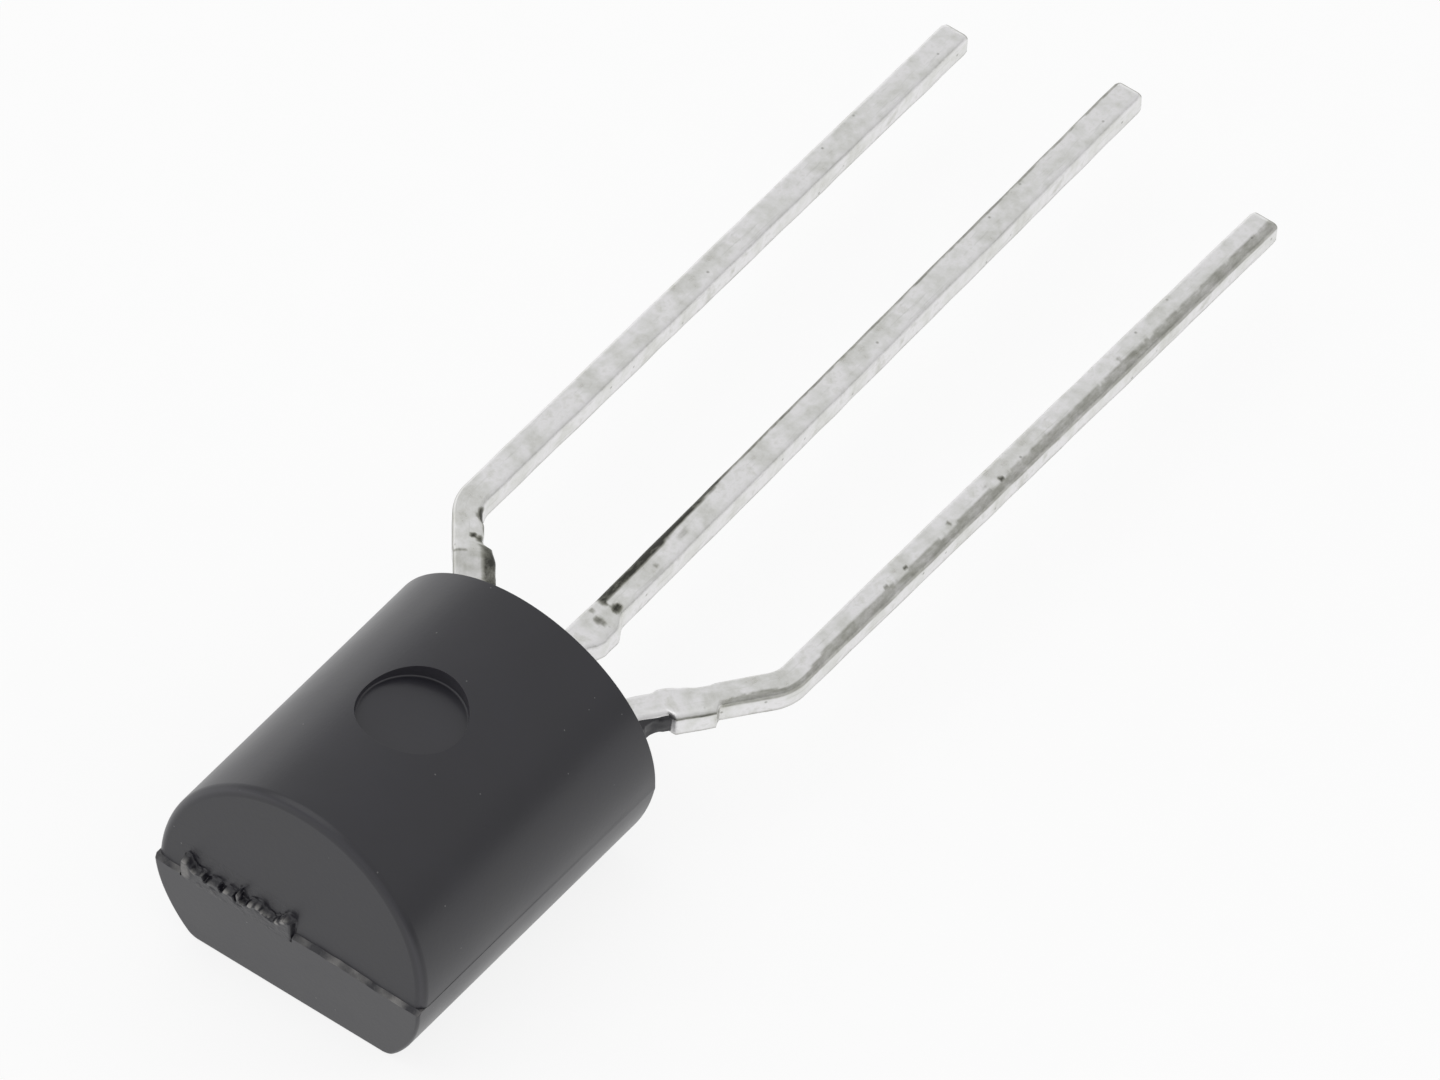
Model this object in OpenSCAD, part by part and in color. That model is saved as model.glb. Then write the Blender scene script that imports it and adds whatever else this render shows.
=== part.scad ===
// Small-signal thyristor in a moulded case with a flat side and a round side,
// with three tin-plated leads formed apart to a wide pitch.
// Millimetres. The origin is the centre of the flat side, on its surface.
// +X runs from the case to the tips of the leads, +Y to the cathode lead,
// and +Z from the flat side to the round side.

/* [Moulded case] */
// Width of the case across the leads, the diameter of its round side
case_w = 4.45; // [4.4:0.05:4.8]
// Length of the case along the leads
case_len = 5.25; // [5.0:0.05:5.5]
// Depth of the case from the flat side to the crown of the round side
case_depth = 3.7; // [3.6:0.05:4.0]
// Height of the mould's parting plane above the flat side
parting_h = 1.31; // [1.2:0.01:1.4]
// Draft of the end faces above the parting plane, in degrees
round_draft = 4; // [2:0.5:6]
// Draft of the end faces below the parting plane, in degrees
flat_draft = 7; // [3:0.5:9]
// How far the lower mould half's end stands out past the upper one's
mould_step = 0.05; // [0.01:0.01:0.08]
// Radius of the two long corners of the flat side
flat_corner_r = 0.12; // [0.06:0.02:0.2]

/* [Marks left by the mould] */
// Diameter of the ejector pin's mark on the crown
ejector_d = 1.54; // [1.2:0.02:1.8]
// Depth of the ejector pin's mark below the crown
ejector_depth = 0.24; // [0.18:0.01:0.3]
// Width of the broken runner stub on the closed end
runner_w = 1.92; // [1.5:0.02:2.1]
// Thickness of the broken runner stub
runner_t = 0.24; // [0.15:0.01:0.3]
// How far the broken runner stub stands out past the upper half's end
runner_out = 0.07; // [0.06:0.01:0.12]
// Width of the resin flash left along the side of a lead
flash_w = 0.1; // [0.06:0.01:0.11]
// Length of the resin flash left along the cathode and anode leads
flash_len = 0.92; // [0.6:0.02:1.0]

/* [Leads] */
// Width of a lead
lead_w = 0.43; // [0.38:0.01:0.48]
// Thickness of the lead frame
lead_t = 0.37; // [0.35:0.01:0.4]
// Radius rolled onto the upper edges by the stamping die
roll_r = 0.08; // [0.05:0.01:0.1]
// Radius on the lower edges
burr_r = 0.03; // [0.02:0.01:0.05]
// Distance between neighbouring leads where they leave the case
lead_pitch = 1.27; // [1.2:0.01:1.35]
// How far the lead frame sits off the middle of the case, towards the cathode
frame_shift = 0.04; // [0:0.01:0.06]
// Distance between neighbouring leads after forming
formed_pitch = 2.63; // [2.4:0.01:2.9]
// Angle of the formed slanting run, in degrees
form_angle = 37.5; // [30:0.5:45]
// Distance from the case to the corner where the cathode lead starts to slant
cathode_form_start = 0.5; // [0.35:0.05:0.8]
// Distance from the case to the corner where the anode lead starts to slant
anode_form_start = 0.62; // [0.36:0.02:0.8]
// Radius of the bends, at the middle of the lead
bend_r = 0.6; // [0.4:0.05:0.8]
// Length of the cathode lead past the case
cathode_len = 13.35; // [10:0.05:15]
// Length of the gate lead past the case
gate_len = 14; // [10:0.05:15]
// Length of the anode lead past the case
anode_len = 13.25; // [10:0.05:15]
// Lean of the gate lead from straight, in degrees
gate_lean = 0.7; // [0:0.1:1]
// Lean of the anode lead from straight, in degrees
anode_lean = -0.4; // [-1:0.1:0]

/* [Dam-bar stubs] */
// How far a dam-bar stub stands out of a lead's -Y side
dam_out = 0.12; // [0.08:0.01:0.13]
// How far a dam-bar stub stands out of a lead's +Y side
dam_in = 0.05; // [0.03:0.01:0.08]
// Length of the dam-bar stubs along the lead
dam_len = 0.72; // [0.5:0.02:0.8]
// Distance from the case to the middle of the stubs, along the lead
dam_at = 1.45; // [1.4:0.01:1.5]

/* [Lead frame inside the case] */
// Length of the paddle that carries the die
paddle_len = 2.0; // [1.8:0.05:2.1]
// Width of the paddle that carries the die
paddle_w = 2.1; // [1.9:0.05:2.15]
// Distance from the closed end of the case to the paddle
paddle_inset = 0.9; // [0.8:0.05:1.0]
// Length of a bonding post
post_len = 0.75; // [0.6:0.05:0.8]
// Width of a bonding post
post_w = 0.8; // [0.7:0.02:0.84]
// Gap between the paddle and the gate lead's post
gate_gap = 0.5; // [0.4:0.05:0.6]
// Distance from the closed end of the case to the cathode lead's post
cathode_inset = 1.9; // [1.7:0.05:2.1]

/* [Die and bonds] */
// Side of the square silicon die
die_side = 1.1; // [0.9:0.05:1.2]
// Thickness of the die
die_t = 0.22; // [0.18:0.01:0.26]
// Thickness of the solder under the die
solder_t = 0.03; // [0.02:0.01:0.04]
// Width of the solder fillet round the die
solder_rim = 0.05; // [0.02:0.01:0.08]
// Diameter of the bond wires
wire_d = 0.05; // [0.04:0.005:0.06]
// Height of the gate wire's loop above a line between its ends
gate_loop_h = 0.4; // [0.3:0.05:0.6]
// Height of the cathode wire's loop above a line between its ends
cathode_loop_h = 0.5; // [0.4:0.05:0.7]
// Distance of the gate pad from the die's edge
gate_pad_inset = 0.2; // [0.15:0.01:0.25]

/* [Hidden] */

round_fn = 96;
small_fn = 32;
big = 30;

case_r = case_w/2;
axis_h = case_depth - case_r;
lead_end_x = case_len/2;
closed_end_x = -case_len/2;
lead_mid_h = parting_h + lead_t/2;
lead_top_h = parting_h + lead_t;

// Centre of a flat side's corner radius, and where that radius meets the round side
corner_y = sqrt(pow(case_r - flat_corner_r, 2) - pow(axis_h - flat_corner_r, 2));
corner_scale = case_r/(case_r - flat_corner_r);
tangent_y = corner_y*corner_scale;
tangent_h = axis_h + (flat_corner_r - axis_h)*corner_scale;

// Formed leads
form_spread = formed_pitch - lead_pitch;
slant_len = form_spread/sin(form_angle);
slant_run = form_spread/tan(form_angle);
rolled_inside = 0.7;
gate_lean_at = dam_at + dam_len/2 + 0.1;

// Lead frame inside the case
paddle_x = closed_end_x + paddle_inset;
paddle_y = -lead_pitch - lead_w/2;
gate_post_x = paddle_x + paddle_len + gate_gap;
cathode_post_x = closed_end_x + cathode_inset;
frame_overlap = 0.1;

// Die and bonds
die_x = paddle_x + paddle_len/2;
die_y = paddle_y + paddle_w/2;
solder_top_h = lead_top_h + solder_t;
die_top_h = solder_top_h + die_t;
gate_pad = [die_x + die_side/2 - gate_pad_inset, die_y + die_side/2 - gate_pad_inset];
gate_target = [gate_post_x + post_len/2, 0];
cathode_pad = [die_x - gate_pad_inset, die_y];
cathode_target = [cathode_post_x + post_len/2, lead_pitch];

// Tangent length of a bend
function bend_run(angle) = bend_r*tan(abs(angle)/2);

// Outline of the case across the leads: a circle cut by the flat, with rounded corners.
// x is across the leads, y is the height above the flat side.
module case_outline() {
    intersection() {
        translate([0, axis_h]) circle(r = case_r, $fn = round_fn);
        translate([-big/2, tangent_h]) square([big, big]);
    }
    polygon([
        [-tangent_y, tangent_h],
        [tangent_y, tangent_h],
        [corner_y, 0],
        [-corner_y, 0]
    ]);
    for (side = [-1, 1])
        translate([side*corner_y, flat_corner_r]) circle(r = flat_corner_r, $fn = small_fn);
}

// The round side is as wide at the parting plane as at its widest, so the mould can open
module mouldable_outline() {
    case_outline();
    translate([-case_r, parting_h]) square([case_w, axis_h - parting_h]);
}

// Everything beyond the two end faces, which lean inwards away from the parting plane
module beyond_ends(ends, draft, up) {
    for (end = ends)
        translate([end[0], 0, parting_h])
            rotate([0, up*end[1]*-draft, 0])
                translate([end[1] > 0 ? 0 : -big, -big/2, -big/2])
                    cube([big, big, big]);
}

// One half of the mould's cavity: up is 1 above the parting plane and -1 below it
module mould_half(closed_x, draft, up) {
    difference() {
        intersection() {
            translate([-case_len, 0, 0])
                rotate([90, 0, 90])
                    linear_extrude(2*case_len) mouldable_outline();
            translate([-big/2, -big/2, up > 0 ? parting_h : parting_h - big])
                cube([big, big, big]);
        }
        beyond_ends([[closed_x, -1], [lead_end_x, 1]], draft, up);
    }
}

// Stub left where the resin runner was broken off, on the closed end
module runner_stub() {
    root = 0.3;
    translate([closed_end_x + mould_step - runner_out, 0, parting_h])
        cube([runner_out + root, runner_w, runner_t]);
}

// Round recess left by the ejector pin, with a flat floor
module ejector_mark() {
    translate([0, 0, case_depth - ejector_depth])
        cylinder(h = 2*ejector_depth, d = ejector_d, $fn = round_fn);
}

// Resin flash along the -Y side of a formed lead, from the case out to the dam bar
module lead_flash(side, start) {
    intersection() {
        translate([0, frame_shift - flash_w, 0])
            formed_run(side, flash_len, start, false);
        translate([lead_end_x - mould_step, -big/2, parting_h])
            cube([big, big, lead_t]);
    }
}

module moulded_body() {
    color("#3b3b3f")
        difference() {
            union() {
                mould_half(closed_end_x + mould_step, round_draft, 1);
                mould_half(closed_end_x, flat_draft, -1);
                runner_stub();
                lead_flash(1, cathode_form_start);
                lead_flash(-1, anode_form_start);
            }
            ejector_mark();
            cathode_solid();
            gate_solid();
            anode_solid();
            die_solid();
            solder_solid();
            gate_wire_solid();
            cathode_wire_solid();
        }
}

// Section of a lead: rolled upper edges and nearly square lower edges
module lead_section() {
    half_w = lead_w/2;
    half_t = lead_t/2;
    polygon([
        [-half_w, half_t - roll_r],
        [-half_w + roll_r, half_t],
        [half_w - roll_r, half_t],
        [half_w, half_t - roll_r],
        [half_w, burr_r - half_t],
        [half_w - burr_r, -half_t],
        [burr_r - half_w, -half_t],
        [-half_w, burr_r - half_t]
    ]);
    for (side = [-1, 1]) {
        translate([side*(half_w - roll_r), half_t - roll_r]) circle(r = roll_r, $fn = small_fn);
        translate([side*(half_w - burr_r), burr_r - half_t]) circle(r = burr_r, $fn = small_fn);
    }
}

// A straight run of lead along +X
module straight_lead(run) {
    rotate([90, 0, 90]) linear_extrude(run) lead_section();
}

// A bend that starts along +X and turns to +Y, or to -Y where the angle is negative
module bent_lead(angle) {
    mirror([0, angle < 0 ? 1 : 0, 0])
        translate([0, bend_r, 0])
            rotate([0, 0, -90])
                rotate_extrude(angle = abs(angle), $fn = round_fn)
                    translate([bend_r, 0]) lead_section();
}

// Carries its children to the end of a bend and turns them along it
module after_bend(angle) {
    centre_y = sign(angle)*bend_r;
    translate([0, centre_y, 0])
        rotate([0, 0, angle])
            translate([0, -centre_y, 0])
                children();
}

// The pair of stubs left where the dam bar was cut away, with the lead's middle at the origin
module dam_stubs() {
    translate([-dam_len/2, -lead_w/2 - dam_out, -lead_t/2])
        cube([dam_len, lead_w + dam_out + dam_in, lead_t - roll_r/2]);
}

// Moves the lead frame, and what is fixed to it, off the middle of the case
module on_frame() {
    translate([0, frame_shift, 0]) children();
}

// A lead formed outwards: straight, slanting, then straight to the tip.
// side is 1 towards +Y and -1 towards -Y, run is the length past the case and
// start is how far past it the lead begins to slant.
module formed_run(side, run, start, stubs = true, lean = 0) {
    bend = bend_run(form_angle);
    out_angle = lean - side*form_angle;
    out_bend = bend_run(out_angle);
    first = rolled_inside + start - bend;
    slant = slant_len - bend - out_bend;
    last = run - start - slant_run - out_bend;
    slant_short = min(slant, (run - start)/cos(form_angle) - bend);
    translate([lead_end_x - rolled_inside, side*lead_pitch, lead_mid_h]) {
        straight_lead(first);
        translate([first, 0, 0]) {
            bent_lead(side*form_angle);
            after_bend(side*form_angle) {
                straight_lead(slant_short);
                if (stubs) {
                    translate([dam_at - start - bend, 0, 0]) dam_stubs();
                    translate([slant, 0, 0]) {
                        bent_lead(out_angle);
                        after_bend(out_angle) straight_lead(last);
                    }
                }
            }
        }
    }
}

// A flat stamped piece of the lead frame, from one corner
module stamped(x, y, run, width) {
    translate([x, y, parting_h]) cube([run, width, lead_t]);
}

// The narrow strip from a post or paddle to where the rolled run begins
module stamped_strip(from_x, y) {
    stamped(from_x, y - lead_w/2, lead_end_x - rolled_inside - from_x, lead_w);
}

module cathode_solid() {
    on_frame() {
        formed_run(1, cathode_len, cathode_form_start);
        stamped_strip(cathode_post_x, lead_pitch);
        stamped(cathode_post_x, lead_pitch - post_w/2, post_len, post_w);
    }
}

module gate_solid() {
    bend = bend_run(gate_lean);
    first = rolled_inside + gate_lean_at - bend;
    on_frame() {
        translate([lead_end_x - rolled_inside, 0, lead_mid_h]) {
            straight_lead(first);
            translate([rolled_inside + dam_at, 0, 0]) dam_stubs();
            translate([first, 0, 0]) {
                bent_lead(gate_lean);
                after_bend(gate_lean) straight_lead(gate_len - gate_lean_at - bend);
            }
        }
        stamped_strip(gate_post_x, 0);
        stamped(gate_post_x, -post_w/2, post_len, post_w);
    }
}

module anode_solid() {
    on_frame() {
        formed_run(-1, anode_len, anode_form_start, true, anode_lean);
        stamped_strip(paddle_x + paddle_len - frame_overlap, -lead_pitch);
        stamped(paddle_x, paddle_y, paddle_len, paddle_w);
    }
}

// A square plate centred over the middle of the paddle
module square_on_paddle(side, height, thick) {
    translate([die_x - side/2, die_y - side/2, height]) cube([side, side, thick]);
}

module solder_solid() {
    on_frame() square_on_paddle(die_side + 2*solder_rim, lead_top_h, solder_t);
}

module die_solid() {
    on_frame() square_on_paddle(die_side, solder_top_h, die_t);
}

// A bond wire: one arch from a pad on the die down to a post, cut flush where it lands
module bond_wire(pad, target, loop_h) {
    reach = norm(target - pad);
    drop = die_top_h - lead_top_h;
    chord = norm([reach, drop]);
    dip = atan2(drop, reach);
    arch_r = (pow(chord/2, 2) + pow(loop_h, 2))/(2*loop_h);
    rise = arch_r - loop_h;
    mid_h = (die_top_h + lead_top_h)/2;
    mid = (pad + target)/2;
    turn = atan2(target[1] - pad[1], target[0] - pad[0]);
    difference() {
        translate([mid[0], mid[1], mid_h])
            rotate([0, 0, turn])
                rotate([0, dip, 0])
                    translate([0, 0, -rise])
                        rotate([90, 0, 0])
                            rotate_extrude(angle = 180, $fn = round_fn)
                                translate([arch_r, 0]) circle(d = wire_d, $fn = 16);
        translate([mid[0] - big/2, mid[1] - big/2, lead_top_h - big]) cube([big, big, big]);
        translate([pad[0], pad[1], die_top_h - big/2])
            rotate([0, 0, turn])
                translate([-big/2, -big/2, 0]) cube([big/2 + reach/3, big, big/2]);
    }
}

module gate_wire_solid() {
    on_frame() bond_wire(gate_pad, gate_target, gate_loop_h);
}

module cathode_wire_solid() {
    on_frame() bond_wire(cathode_pad, cathode_target, cathode_loop_h);
}

module cathode_lead() {
    color("#c8c8c6") cathode_solid();
}

module gate_lead() {
    color("#c8c8c6") gate_solid();
}

module anode_lead() {
    color("#c8c8c6") anode_solid();
}

module thyristor_die() {
    color("#6a7078") die_solid();
}

module die_solder() {
    color("#9a9c9e") solder_solid();
}

module gate_bond_wire() {
    color("#d8b24a") gate_wire_solid();
}

module cathode_bond_wire() {
    color("#d8b24a") cathode_wire_solid();
}

moulded_body();
cathode_lead();
gate_lead();
anode_lead();
thyristor_die();
die_solder();
gate_bond_wire();
cathode_bond_wire();
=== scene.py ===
# %% [markdown]
# # A small thyristor, from resin to lead tips
# A thyristor in this case is three things to the eye: a black resin moulding,
# the marks that its mould and its trimming press leave on it, and three tinned
# leads, stamped from one sheet and bent apart. The lesson makes them in that
# order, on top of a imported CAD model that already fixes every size. The CAD
# nodes for the silicon, its solder and its two wires are sealed inside the
# resin, so they keep their CAD shapes and only get a material.

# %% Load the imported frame
import math
from functools import partial

import bmesh
import bpy
from mathutils import Matrix, Vector, noise


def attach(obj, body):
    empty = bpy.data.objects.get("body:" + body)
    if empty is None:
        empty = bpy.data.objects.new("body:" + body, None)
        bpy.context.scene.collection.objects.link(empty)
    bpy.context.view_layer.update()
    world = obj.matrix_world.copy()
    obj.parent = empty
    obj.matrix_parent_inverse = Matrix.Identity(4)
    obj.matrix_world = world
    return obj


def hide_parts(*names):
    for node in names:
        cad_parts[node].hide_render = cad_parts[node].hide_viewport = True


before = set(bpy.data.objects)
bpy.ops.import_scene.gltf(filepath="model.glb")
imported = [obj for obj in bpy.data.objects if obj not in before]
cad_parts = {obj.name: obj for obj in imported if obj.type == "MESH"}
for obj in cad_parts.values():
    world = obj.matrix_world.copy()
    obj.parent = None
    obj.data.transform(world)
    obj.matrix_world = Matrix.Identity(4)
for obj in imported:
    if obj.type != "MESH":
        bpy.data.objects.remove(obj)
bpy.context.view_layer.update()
print("frame nodes:", ", ".join(sorted(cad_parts)))

# %% [markdown]
# ## Sizes
# The part is a few millimetres across, and Blender counts in metres. Every
# shape here is worked out in millimetres, where the numbers are easy to read,
# and is scaled once at the end. The sizes are the ones that the CAD source
# names: the case, its parting plane, the leads and the way that they're formed.
# A lead's reach is how far past the case its tip stands, and its root is where
# it ends inside.

# %% Sizes in millimetres
MM = 0.001

CASE_W, CASE_LEN, CASE_DEPTH = 4.45, 5.25, 3.7
PARTING_H = 1.31
ROUND_SLOPE, FLAT_SLOPE = (math.tan(math.radians(draft)) for draft in (4, 7))
MOULD_STEP = 0.05
CASE_R = CASE_W / 2
AXIS_H = CASE_DEPTH - CASE_R
LEAD_END, CLOSED_END = CASE_LEN / 2, -CASE_LEN / 2

LEAD_W, LEAD_T = 0.43, 0.37
HALF_W, HALF_T = LEAD_W / 2, LEAD_T / 2
ROLL_R, BURR_R = 0.08, 0.03
LEAD_MID_H = PARTING_H + HALF_T
LEAD_PITCH, FORMED_PITCH, FRAME_SHIFT = 1.27, 2.63, 0.04
FORM_ANGLE = math.radians(37.5)
CATHODE_FORM_START, GATE_FORM_START, ANODE_FORM_START, BEND_R = 0.5, 1.91, 0.62, 0.6
CATHODE_REACH, GATE_REACH, ANODE_REACH = 13.35, 14.0, 13.25
CATHODE_ROOT, GATE_ROOT, ANODE_ROOT = -3.35, -1.85, -4.35
print(f"case {CASE_W} x {CASE_LEN} x {CASE_DEPTH}, leads {LEAD_W} x {LEAD_T}")

# %% [markdown]
# ## The camera
# A picture taken from far off with a long lens keeps parallel leads parallel,
# which is how small parts are usually pictured. The camera is turned by three
# angles: round the part, up from the table, and a small roll. Its axes are
# worked out from those angles and written into its matrix, because a tracking
# constraint can't hold a roll.

# %% Camera
AZIMUTH, ELEVATION, ROLL = (math.radians(a) for a in (-56.258, 48.661, 4.143))
FRAME_W, CAMERA_BACK, AIM_RIGHT, AIM_UP = 19.39, 400.0, 2.706, 3.137


def add_object(name, data):
    """A new object in the scene, which shows this data."""
    made = bpy.data.objects.new(name, data)
    bpy.context.scene.collection.objects.link(made)
    return made


level_right = Vector((math.cos(AZIMUTH), math.sin(AZIMUTH), 0))
looking = Vector((-math.sin(AZIMUTH) * math.cos(ELEVATION),
                  math.cos(AZIMUTH) * math.cos(ELEVATION), -math.sin(ELEVATION)))
level_up = level_right.cross(looking)
right = math.cos(ROLL) * level_right + math.sin(ROLL) * level_up
up = math.cos(ROLL) * level_up - math.sin(ROLL) * level_right

aim = Vector((LEAD_END, 0, 0)) + AIM_RIGHT * right + AIM_UP * up
camera_data = bpy.data.cameras.new("long_lens")
camera_data.sensor_width = 36
camera_data.lens = camera_data.sensor_width * CAMERA_BACK / FRAME_W
camera_data.clip_start, camera_data.clip_end = 0.01, 20
camera = add_object("camera", camera_data)
axes = Matrix((right, up, -looking)).transposed()
camera.matrix_world = Matrix.Translation(MM * (aim - CAMERA_BACK * looking)) @ axes.to_4x4()
bpy.context.scene.camera = camera
bpy.context.scene.view_settings.view_transform = "Standard"
print(f"lens {camera_data.lens:.0f} mm, {CAMERA_BACK:.0f} mm away")

# %% [markdown]
# ## Helpers for materials
# A finish is a small network of nodes. One helper adds any node, sets its own
# options and fills its sockets, with values or with links from other nodes, and
# each finish gets it as add, tied to its own nodes. Colours are written as the
# hex values of a paint program, and one function turns them into linear light.
#
# A list fills sockets in their order: for a map range, the value, the range it
# comes from and the range it goes to. Places are in millimetres, so a pattern's
# scale counts its grains to the millimetre.

# %% Material helpers
def linear(code):
    """The linear RGBA of an sRGB hex colour."""
    parts = [int(code[i:i + 2], 16) / 255 for i in (1, 3, 5)]
    return (*[p / 12.92 if p <= 0.04045 else ((p + 0.055) / 1.055) ** 2.4 for p in parts], 1)


def fill(node, sockets):
    """Fills sockets, named or in order, with values, other sockets, or a node's first output."""
    for name, value in sockets.items() if isinstance(sockets, dict) else enumerate(sockets):
        if isinstance(value, bpy.types.Node):
            value = value.outputs[0]
        if isinstance(value, bpy.types.NodeSocket):
            node.id_data.links.new(value, node.inputs[name])
        else:
            node.inputs[name].default_value = value


def add_node(tree, kind, sockets=(), stops=(), **options):
    """Adds a node with its options and sockets. A ramp has stops of (position, hex colour)."""
    made = tree.nodes.new("ShaderNode" + kind)
    for option, value in options.items():
        setattr(made, option, value)
    fill(made, sockets)
    if stops:
        marks = made.color_ramp.elements
        for mark, (position, code) in ((marks[1], stops[-1]), (marks[0], stops[0])):
            mark.position, mark.color = position, linear(code)
        for position, code in stops[1:-1]:
            marks.new(position).color = linear(code)
    return made


def empty_tree(owner):
    """Empties the nodes of a material or a world, and returns the way to add to them."""
    owner.use_nodes = True
    owner.node_tree.nodes.clear()
    return partial(add_node, owner.node_tree)


def new_finish(name):
    """A material, the way to add nodes to it, and its Principled shader."""
    finish = bpy.data.materials.new(name)
    add = empty_tree(finish)
    shader = add("BsdfPrincipled")
    add("OutputMaterial", {"Surface": shader})
    return finish, add, shader


def in_millimetres(add):
    """The place on a piece, in millimetres."""
    return add("Mapping", {"Vector": add("TexCoord").outputs["Object"], "Scale": (1 / MM,) * 3})


print("helpers ready; mid grey #808080 is", [round(c, 3) for c in linear("#808080")[:3]])

# %% [markdown]
# ## Moulded resin
# The case is epoxy filled with silica and blackened with carbon, moulded in a
# steel cavity that was finished by spark erosion. The surface is satin: it has
# no colour of its own to speak of, and what the eye reads is the white room,
# faint where it looks straight on and strong at a grazing angle. So the base
# is nearly black, the index of refraction is that of filled resin, and the
# highlight is spread by a roughness of about a third.
#
# The eroded cavity leaves a grain of about 0.03 mm. The bump is drawn at twice
# that, so that it shows. A second, slow pattern about a millimetre wide varies
# the roughness, as release wax does on a real moulding. An attribute lightens
# the base as painted light: a painted sheen along the closed end's rounded rim,
# and painted light on the shaded wall and floor of the ejector pin's recess.

# %% Material: spark-eroded black epoxy
RESIN_IOR = 1.6


def moulded_epoxy():
    finish, add, resin = new_finish("moulded_black_epoxy")
    place = in_millimetres(add)
    grain = add("TexNoise", {"Vector": place, "Scale": 14, "Detail": 3, "Roughness": 0.6})
    wax = add("TexNoise", {"Vector": place, "Scale": 0.9, "Detail": 4, "Roughness": 0.55})
    tint = add("ValToRGB", [wax], [(0.3, "#15141c"), (0.7, "#1a1922")])
    # Silica grains that the carbon black doesn't cover, about 0.02 mm across
    filler = add("TexVoronoi", {"Vector": place, "Scale": 3.1})
    speck = add("Math", [filler, 0.035], operation="LESS_THAN")
    specked = add("Mix", {0: speck, 6: tint, 7: linear("#5a5a5a")}, data_type="RGBA")
    # Painted light: a paler grey where the attribute is set, a sheen on the rim and light in the
    # pin's recess
    painted_light_and_tone = add("Attribute", attribute_name="painted_light_and_tone").outputs["Fac"]
    greyed = add("Mix", {0: painted_light_and_tone, 6: specked.outputs[2], 7: linear("#37363c")}, data_type="RGBA")
    sheen = add("MapRange", [wax, 0.3, 0.7, 0.30, 0.36])
    relief = add("Bump", {"Height": grain, "Strength": 0.12, "Distance": 0.01 * MM})
    fill(resin, {"Base Color": greyed.outputs[2], "Roughness": sheen, "Normal": relief,
                 "IOR": RESIN_IOR})
    return finish


epoxy = moulded_epoxy()
print("made", epoxy.name)

# %% [markdown]
# ## Broken resin
# Where the runner was snapped off and where resin was squeezed out along a
# lead, the surface is a fracture and not a moulding. It is rougher, its high
# chips are pale, partly with crushed silica and partly as painted light, and
# its pits are painted darker than the resin, as painted shade. The pieces carry
# an attribute, from 0 in a pit to 1 on a crest, and the colour follows it.

# %% Material: fractured epoxy
def fractured_epoxy():
    finish, add, resin = new_finish("fractured_black_epoxy")
    chip_and_painted_light = add("Attribute", attribute_name="chip_and_painted_light").outputs["Fac"]
    crumbs = add("TexNoise",
                 {"Vector": in_millimetres(add), "Scale": 11, "Detail": 5, "Roughness": 0.7})
    mixed = add("Math", [crumbs, 0.3, chip_and_painted_light], operation="MULTIPLY_ADD")
    # Low values are painted shade in the pits; high ones are pale chips, partly painted light
    colour = add("ValToRGB", [mixed],
                 [(0.15, "#060607"), (0.42, "#15141c"), (0.6, "#1b1a22"), (0.78, "#5b5a5a"),
                  (1.0, "#8e8c8a")])
    dull = add("MapRange", [chip_and_painted_light, 0.35, 0.7, 0.34, 0.65])
    relief = add("Bump", {"Height": crumbs, "Strength": 0.25, "Distance": 0.02 * MM})
    fill(resin, {"Base Color": colour, "Roughness": dull, "Normal": relief, "IOR": RESIN_IOR})
    return finish


broken_epoxy = fractured_epoxy()
print("made", broken_epoxy.name)
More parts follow.
